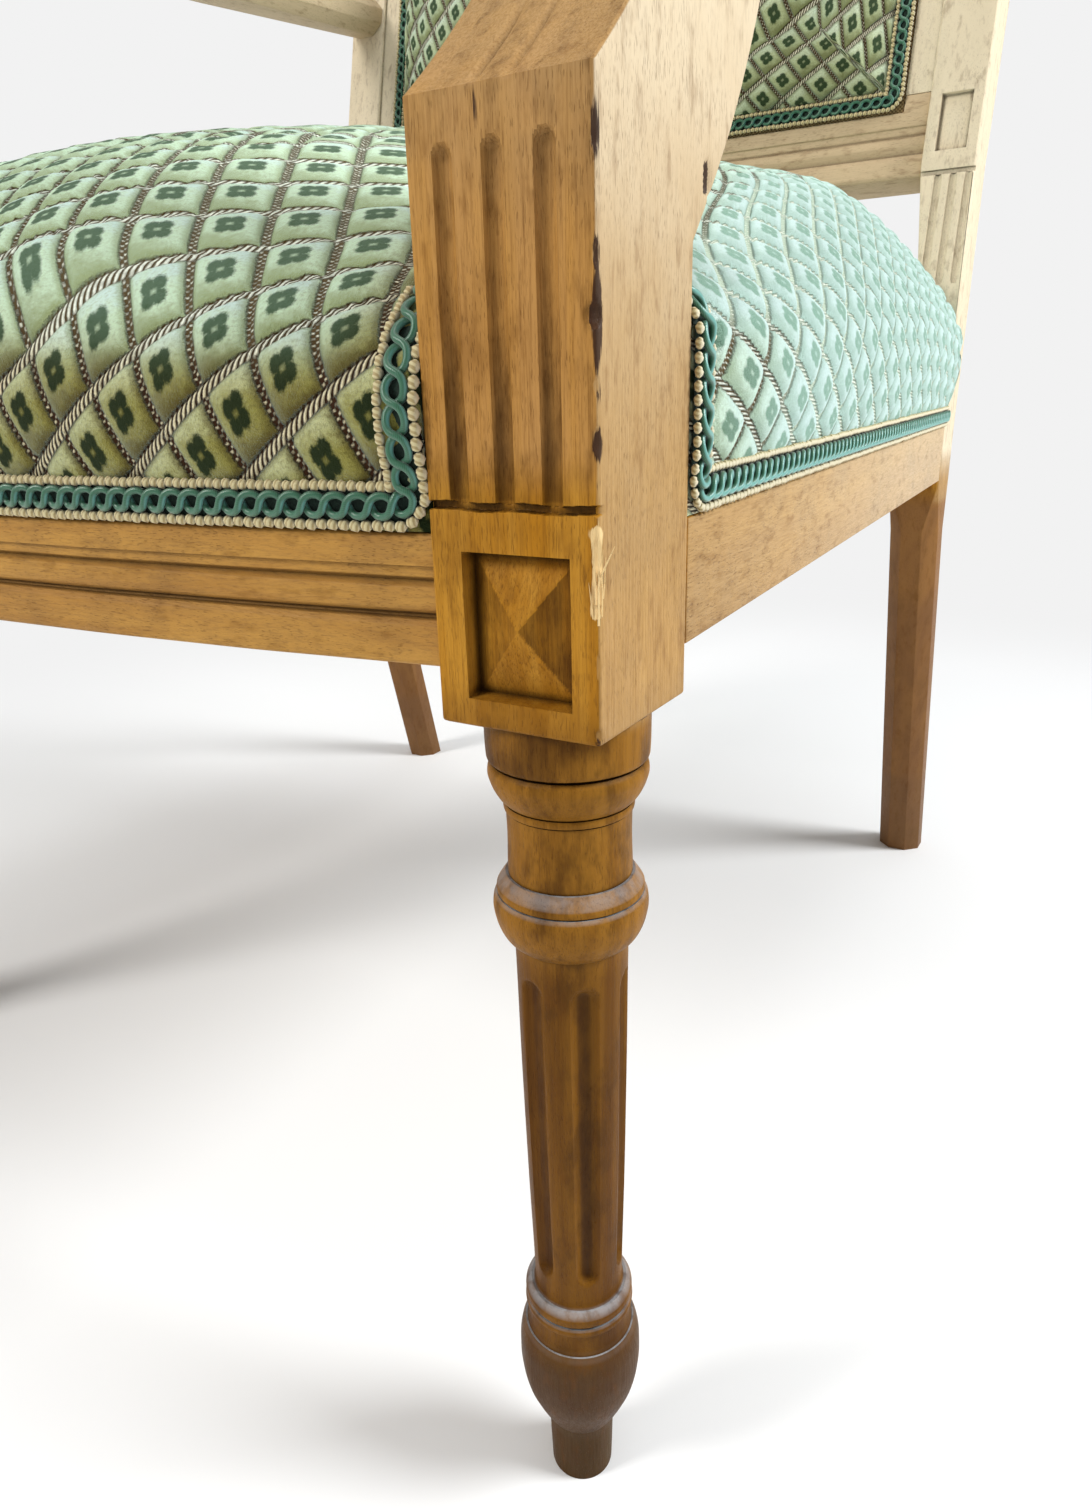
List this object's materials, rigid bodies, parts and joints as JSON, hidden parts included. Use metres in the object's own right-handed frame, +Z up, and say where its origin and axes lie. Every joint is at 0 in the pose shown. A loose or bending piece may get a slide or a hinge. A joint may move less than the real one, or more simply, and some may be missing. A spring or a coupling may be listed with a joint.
{
  "type": "upholstered open armchair",
  "caption": "Open armchair with turned fluted legs, swept arm supports, a sprung seat and a framed, padded square back.",
  "frame": {"origin": "on the floor, under the middle of the chair's bounding box", "axes": "+Z up, the chair faces -Y, +X is at the right of someone who looks at the chair's front; X = 0 is its symmetry plane"},
  "size_m": [0.5928, 0.7038, 0.9007],
  "materials": {
    "wood": "stripped and waxed beech, satin, with worn arrises and dark dirt in the recesses",
    "hidden_wood": "raw beech, matt",
    "velvet": "cut pile fabric in olive green with a raised lozenge pattern, pale where the light grazes it",
    "gimp": "woven braid of teal satin loops with beige edges",
    "jute": "plain woven jute",
    "stuffing": "curled hair and fibre",
    "steel": "dull bare steel",
    "dust_cloth": "thin black cotton"
  },
  "bodies": {
    "root": {"front_post_right": "wood", "front_post_left": "wood", "rear_stile_right": "wood", "rear_stile_left": "wood", "arm_right": "wood", "arm_left": "wood", "front_rail": "wood", "side_rail_right": "wood", "side_rail_left": "wood", "back_seat_rail": "wood", "lower_back_rail": "wood", "crest_rail": "wood", "front_corner_block_right": "hidden_wood", "front_corner_block_left": "hidden_wood", "rear_corner_block_right": "hidden_wood", "rear_corner_block_left": "hidden_wood", "front_block_screw_right": "steel", "front_block_screw_left": "steel", "rear_block_screw_right": "steel", "rear_block_screw_left": "steel", "seat_spring_1": "steel", "seat_spring_2": "steel", "seat_spring_3": "steel", "seat_spring_4": "steel", "seat_spring_5": "steel", "seat_spring_6": "steel", "seat_spring_7": "steel", "seat_spring_8": "steel", "seat_spring_9": "steel", "seat_strap_lengthwise_1": "jute", "seat_strap_crosswise_1": "jute", "seat_strap_lengthwise_2": "jute", "seat_strap_crosswise_2": "jute", "seat_strap_lengthwise_3": "jute", "seat_strap_crosswise_3": "jute", "back_strap_1": "jute", "back_strap_2": "jute", "back_strap_3": "jute", "spring_canvas": "jute", "back_canvas": "jute", "seat_stuffing": "stuffing", "back_stuffing": "stuffing", "seat_cover": "velvet", "inner_back_cover": "velvet", "outside_back_cover": "velvet", "arm_pad_right": "velvet", "arm_pad_left": "velvet", "seat_gimp_front": "gimp", "seat_gimp_right": "gimp", "seat_gimp_left": "gimp", "seat_gimp_rear": "gimp", "back_gimp_front": "gimp", "back_gimp_rear": "gimp", "arm_pad_gimp_right": "gimp", "arm_pad_gimp_left": "gimp", "dust_cover": "dust_cloth"}
  },
  "joints": []
}
